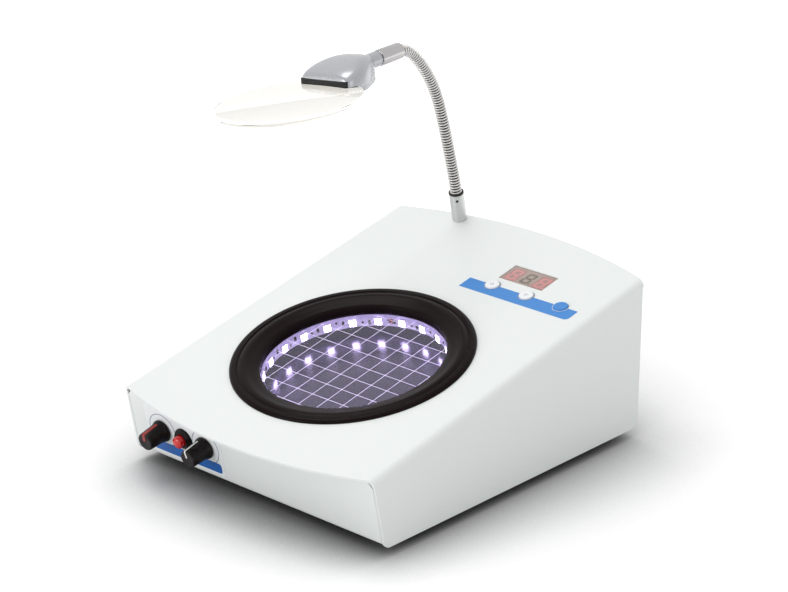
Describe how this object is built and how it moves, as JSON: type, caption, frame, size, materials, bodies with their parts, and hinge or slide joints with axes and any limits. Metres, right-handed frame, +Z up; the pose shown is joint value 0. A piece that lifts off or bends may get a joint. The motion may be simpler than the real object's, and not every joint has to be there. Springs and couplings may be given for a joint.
{
  "type": "colony counter",
  "caption": "Sloping bench colony counter with a lit round glass stage, dimmer knobs, a push button, a counter display with keys and a magnifier on a flexible neck.",
  "frame": {"origin": "bottom centre of the whole object, on the table surface under its rubber feet", "axes": "+X to the operator's right, +Y to the back, +Z up; the top slopes up towards the back"},
  "size_m": [0.203, 0.274, 0.237],
  "materials": {
    "white_coat": "fine powder coat, satin",
    "black_gloss": "gloss",
    "lamp_well": "gloss black enamel",
    "clear_glass": "polished",
    "lens_glass": "polished",
    "rubber_black": "matt",
    "zinc": "zinc plated",
    "chrome": "polished",
    "satin_metal": "satin",
    "steel_hose": "ribbed, bright",
    "tape_white": "matt",
    "lamp_resin": "lit",
    "strip_blue": "printed film",
    "key_white": "satin",
    "key_blue": "satin",
    "switch_black": "matt",
    "window_grey": "gloss",
    "display_face": "matt",
    "board_green": "solder resist",
    "label_white": "printed film",
    "pointer_red": "gloss",
    "pointer_white": "gloss",
    "button_red": "gloss",
    "black_plastic": "fine grain"
  },
  "bodies": {
    "housing": {"top_cover": "white_coat", "chassis": "white_coat", "cover_brackets": "zinc", "rubber_feet": "rubber_black", "foot_screws": "zinc", "short_screws": "zinc", "lock_nuts": "zinc", "stage_ring": "black_gloss", "grid_glass": "clear_glass", "glass_gasket": "rubber_black", "lamp_tray": "lamp_well", "tray_studs": "zinc", "lamp_tape": "tape_white", "lamps": "lamp_resin", "key_strip": "strip_blue", "key_switches": "switch_black", "display_window": "window_grey", "display_module": "display_face", "control_board": "board_green", "board_standoffs": "zinc", "counter_chip": "switch_black", "buzzer": "switch_black", "control_label": "label_white", "pot_bodies": "zinc", "pot_washers": "zinc", "pot_nuts": "zinc", "button_housing": "black_plastic", "button_nut": "zinc", "power_socket": "black_plastic", "probe_socket": "black_plastic", "socket_nuts": "zinc", "gooseneck_collar": "satin_metal", "collar_set_screw": "switch_black", "collar_ring": "rubber_black", "neck_root": "steel_hose"},
    "left_key_cap": {"left_key": "key_white"},
    "middle_key_cap": {"middle_key": "key_white"},
    "right_key_cap": {"right_key": "key_blue"},
    "left_dial": {"left_pot_shaft": "satin_metal", "left_knob": "black_plastic", "left_pointer": "pointer_red"},
    "right_dial": {"right_pot_shaft": "satin_metal", "right_knob": "black_plastic", "right_pointer": "pointer_white"},
    "button_cap": {"red_button": "button_red"},
    "magnifier": {"swivel_stem": "satin_metal", "head_upper_shell": "satin_metal", "head_lower_shell": "satin_metal", "slot_liner": "rubber_black", "clamp_screws": "zinc", "magnifier_lens": "lens_glass"},
    "neck_1": {"neck_link_1": "steel_hose"},
    "neck_2": {"neck_link_2": "steel_hose"},
    "neck_3": {"neck_link_3": "steel_hose"},
    "neck_4": {"neck_link_4": "steel_hose"},
    "neck_5": {"neck_link_5": "steel_hose"},
    "neck_6": {"neck_link_6": "steel_hose"},
    "neck_7": {"neck_link_7": "steel_hose"},
    "neck_8": {"neck_link_8": "steel_hose", "end_ferrule": "chrome"}
  },
  "joints": [
    {"name": "left_key_press", "type": "slide", "parent": "housing", "child": "left_key_cap", "axis": [0, 0.2096, -0.9778], "range_m": [0, 0.0008], "stiffness_N_per_m": 1500},
    {"name": "middle_key_press", "type": "slide", "parent": "housing", "child": "middle_key_cap", "axis": [0, 0.2096, -0.9778], "range_m": [0, 0.0008], "stiffness_N_per_m": 1500},
    {"name": "right_key_press", "type": "slide", "parent": "housing", "child": "right_key_cap", "axis": [0, 0.2096, -0.9778], "range_m": [0, 0.0008], "stiffness_N_per_m": 1500},
    {"name": "red_button_press", "type": "slide", "parent": "housing", "child": "button_cap", "axis": [0, 0.9778, 0.2096], "range_m": [0, 0.002], "stiffness_N_per_m": 1000},
    {"name": "left_knob_turn", "type": "hinge", "parent": "housing", "child": "left_dial", "pos_m": [-0.0743, -0.11632, 0.02871], "axis": [0, -0.9778, -0.2096], "range_deg": [-150, 150]},
    {"name": "right_knob_turn", "type": "hinge", "parent": "housing", "child": "right_dial", "pos_m": [-0.0379, -0.11632, 0.02871], "axis": [0, -0.9778, -0.2096], "range_deg": [-150, 150]},
    {"name": "neck_bend_1", "type": "hinge", "parent": "housing", "child": "neck_1", "pos_m": [-0.051, 0.12216, 0.12609], "axis": [1, 0, 0], "range_deg": [-20, 8]},
    {"name": "neck_sway_2", "type": "hinge", "parent": "neck_1", "child": "neck_2", "pos_m": [-0.051, 0.11843, 0.14134], "axis": [0, 0.9641, 0.2656], "range_deg": [-15, 15]},
    {"name": "neck_bend_3", "type": "hinge", "parent": "neck_2", "child": "neck_3", "pos_m": [-0.051, 0.1142, 0.15646], "axis": [1, 0, 0], "range_deg": [-20, 8]},
    {"name": "neck_sway_4", "type": "hinge", "parent": "neck_3", "child": "neck_4", "pos_m": [-0.051, 0.10983, 0.17154], "axis": [0, 0.9593, 0.2823], "range_deg": [-15, 15]},
    {"name": "neck_bend_5", "type": "hinge", "parent": "neck_4", "child": "neck_5", "pos_m": [-0.051, 0.10499, 0.18647], "axis": [1, 0, 0], "range_deg": [-20, 8]},
    {"name": "neck_sway_6", "type": "hinge", "parent": "neck_5", "child": "neck_6", "pos_m": [-0.051, 0.09864, 0.20081], "axis": [0, 0.8805, 0.4741], "range_deg": [-15, 15]},
    {"name": "neck_bend_7", "type": "hinge", "parent": "neck_6", "child": "neck_7", "pos_m": [-0.051, 0.09012, 0.21398], "axis": [1, 0, 0], "range_deg": [-20, 8]},
    {"name": "neck_sway_8", "type": "hinge", "parent": "neck_7", "child": "neck_8", "pos_m": [-0.051, 0.07949, 0.2255], "axis": [0, 0.6704, 0.742], "range_deg": [-15, 15]},
    {"name": "head_swivel", "type": "hinge", "parent": "neck_8", "child": "magnifier", "pos_m": [-0.051, 0.04749, 0.2297], "axis": [0, -0.9986, -0.0523], "range_deg": [-80, 80]}
  ]
}
